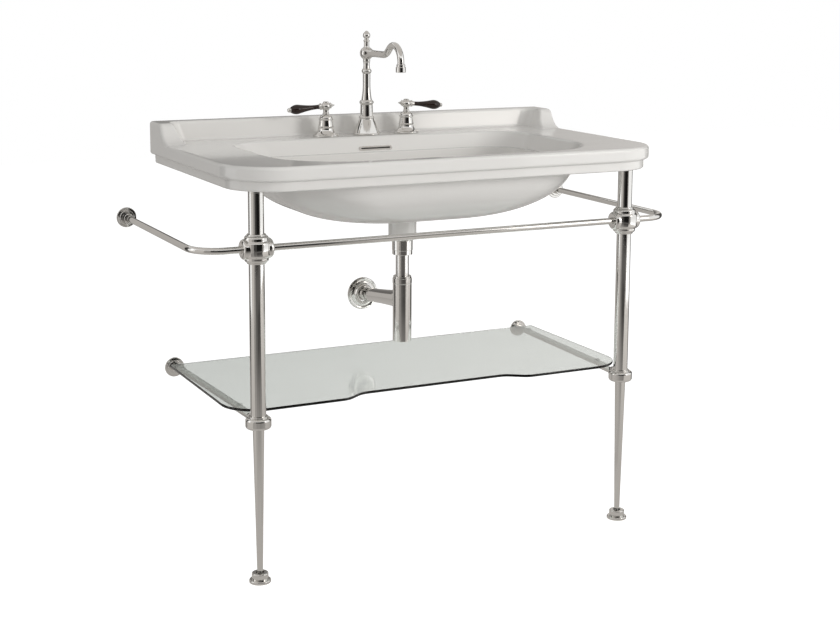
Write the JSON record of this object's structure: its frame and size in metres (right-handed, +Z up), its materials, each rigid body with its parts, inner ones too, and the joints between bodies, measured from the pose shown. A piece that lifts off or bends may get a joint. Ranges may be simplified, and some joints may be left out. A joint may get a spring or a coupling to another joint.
{
  "type": "console sink",
  "caption": "Wide ceramic washbasin with an upstand on two turned metal legs, with towel rails, a glass shelf, a lever tap set and a bottle trap.",
  "frame": {"origin": "centre of the bounding box on the floor, 266 mm in front of the wall plane", "axes": "+Z up, +X to the right as seen from the front, +Y towards the wall; the front faces -Y"},
  "size_m": [1.163, 0.612, 1.105],
  "materials": {
    "glaze": "glossy white glaze",
    "chrome": "polished",
    "brass": "as turned",
    "steel": "zinc plated",
    "rubber": "matt",
    "clear_pad": "clear soft plastic",
    "glass": "clear with polished edges",
    "black_grip": "glossy black"
  },
  "bodies": {
    "console": {"basin": "glaze", "overflow_trim": "chrome", "towel_rail_front": "chrome", "spout_column": "chrome", "waste_body": "chrome", "waste_backnut": "chrome", "trap_nut": "chrome", "trap_inlet_tube": "chrome", "trap_cap": "chrome", "trap_bottle": "chrome", "trap_outlet": "chrome", "trap_rose": "chrome", "upper_leg_tube_left": "chrome", "upper_leg_tube_right": "chrome", "middle_leg_tube_left": "chrome", "middle_leg_tube_right": "chrome", "leg_head_left": "chrome", "leg_head_right": "chrome", "rail_joint_left": "chrome", "rail_joint_right": "chrome", "towel_rail_left": "chrome", "towel_rail_right": "chrome", "rail_rose_left": "chrome", "rail_rose_right": "chrome", "shelf_collar_left": "chrome", "shelf_collar_right": "chrome", "shelf_arm_left": "chrome", "shelf_arm_right": "chrome", "shelf_rose_left": "chrome", "shelf_rose_right": "chrome", "lower_leg_left": "chrome", "lower_leg_right": "chrome", "hot_valve_body": "chrome", "cold_valve_body": "chrome", "spout_tail": "brass", "hot_valve_tail": "brass", "cold_valve_tail": "brass", "tap_backnuts": "brass", "leg_pads": "rubber", "tap_washers": "rubber", "waste_seal": "rubber", "shelf_pads": "clear_pad", "glass_shelf": "glass"},
    "hot_lever": {"hot_lever_hub": "chrome", "hot_lever_grip": "black_grip", "hot_lever_cap": "chrome"},
    "cold_lever": {"cold_lever_hub": "chrome", "cold_lever_grip": "black_grip", "cold_lever_cap": "chrome"},
    "spout": {"spout_arm": "chrome", "spout_finial": "chrome", "aerator": "chrome"},
    "plug": {"waste_plug": "chrome"},
    "foot_assembly_left": {"foot_left": "chrome", "foot_stud_left": "steel"},
    "foot_assembly_right": {"foot_right": "chrome", "foot_stud_right": "steel"}
  },
  "joints": [
    {"name": "hot_lever_turn", "type": "hinge", "parent": "console", "child": "hot_lever", "pos_m": [-0.103, 0.198, 0.934], "axis": [0, 0, 1], "range_deg": [0, 90]},
    {"name": "cold_lever_turn", "type": "hinge", "parent": "console", "child": "cold_lever", "pos_m": [0.103, 0.198, 0.934], "axis": [0, 0, 1], "range_deg": [-90, 0]},
    {"name": "spout_swivel", "type": "hinge", "parent": "console", "child": "spout", "pos_m": [0, 0.198, 1.042], "axis": [0, 0, 1], "range_deg": [-60, 60]},
    {"name": "plug_lift", "type": "slide", "parent": "console", "child": "plug", "axis": [0, 0, 1], "range_m": [0, 0.009]},
    {"name": "foot_left_level", "type": "slide", "parent": "console", "child": "foot_assembly_left", "axis": [0, 0, 1], "range_m": [0, 0.01]},
    {"name": "foot_right_level", "type": "slide", "parent": "console", "child": "foot_assembly_right", "axis": [0, 0, 1], "range_m": [0, 0.01]}
  ]
}
